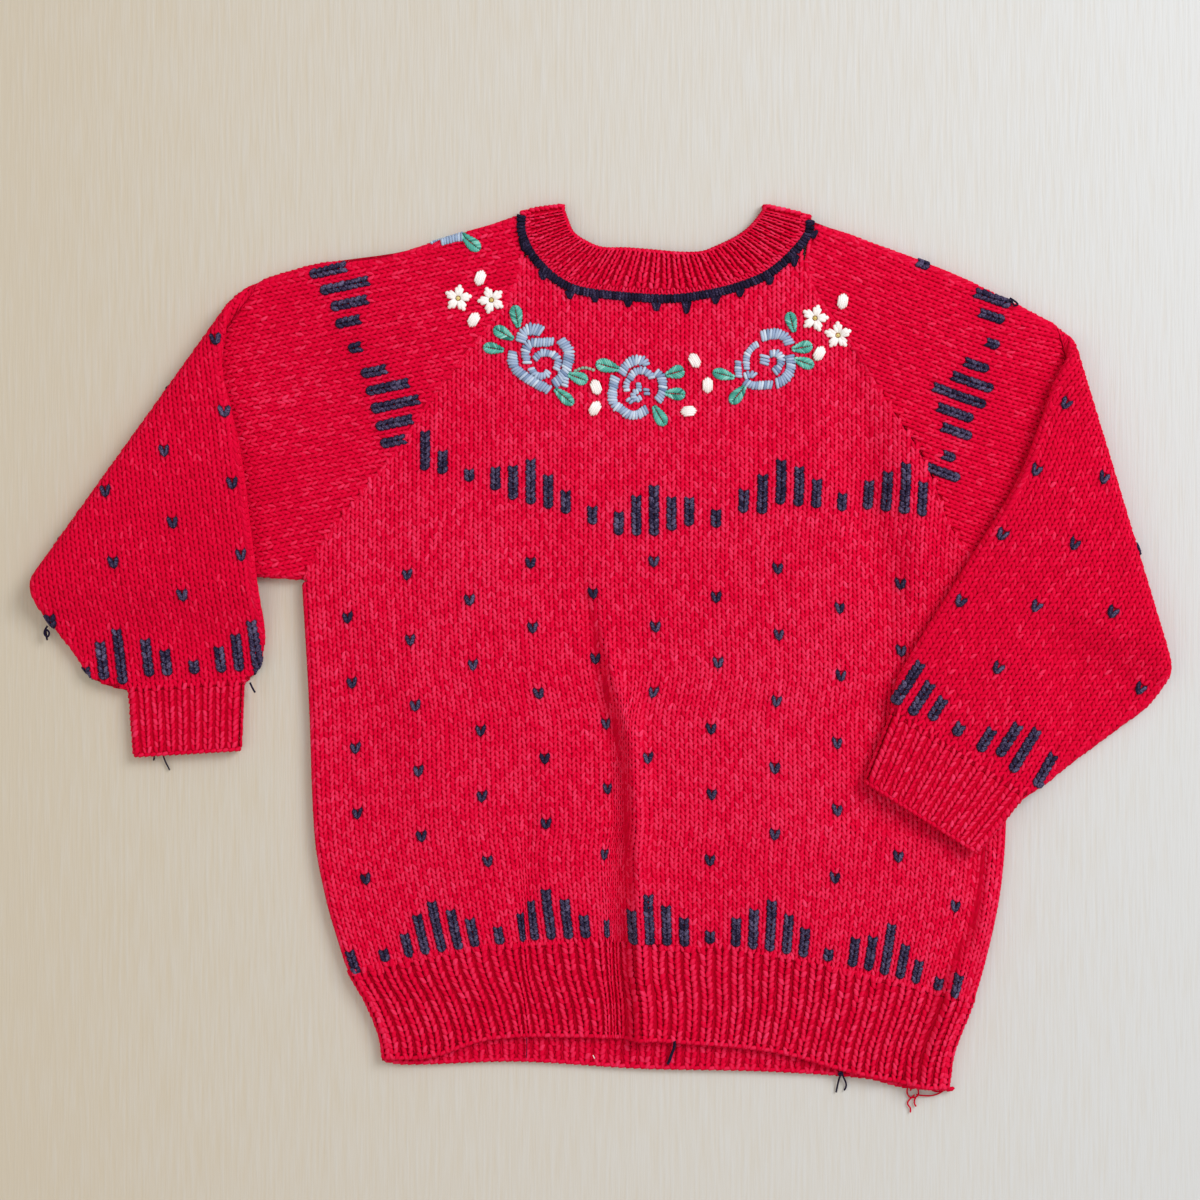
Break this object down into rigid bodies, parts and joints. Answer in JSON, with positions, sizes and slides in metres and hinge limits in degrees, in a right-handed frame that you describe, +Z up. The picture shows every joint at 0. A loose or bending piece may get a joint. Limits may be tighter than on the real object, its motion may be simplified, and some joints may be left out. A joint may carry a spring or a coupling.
{
  "type": "darned child's pullover laid flat",
  "caption": "Child's knitted raglan pullover laid flat with both sleeves folded over, ribbed hem, cuffs and neckband, darned bars and embroidered yoke.",
  "frame": {"origin": "on the surface it lies on, below the middle of the garment's outline as laid", "axes": "+Z up from the surface, +Y towards the neck, +X to the right for someone looking down at it with the neck away from them; left and right in the names are that viewer's"},
  "size_m": [0.5664, 0.442, 0.0165],
  "materials": {
    "red_knit": "stocking stitch in worsted cotton, matt, slightly fuzzy",
    "red_rib": "one by one rib in the same worsted cotton",
    "navy_yarn": "charcoal navy yarn of the darned bars, hearts and band seam",
    "blue_thread": "grey blue soft embroidery cotton",
    "green_thread": "green soft embroidery cotton",
    "ivory_thread": "ivory soft embroidery cotton",
    "yellow_thread": "yellow soft embroidery cotton"
  },
  "bodies": {
    "root": {"front": "red_knit", "back": "red_knit", "left_sleeve": "red_knit", "right_sleeve": "red_knit", "front_hem_rib": "red_rib", "back_hem_rib": "red_rib", "left_cuff": "red_rib", "right_cuff": "red_rib", "neckband": "red_rib"}
  },
  "joints": []
}
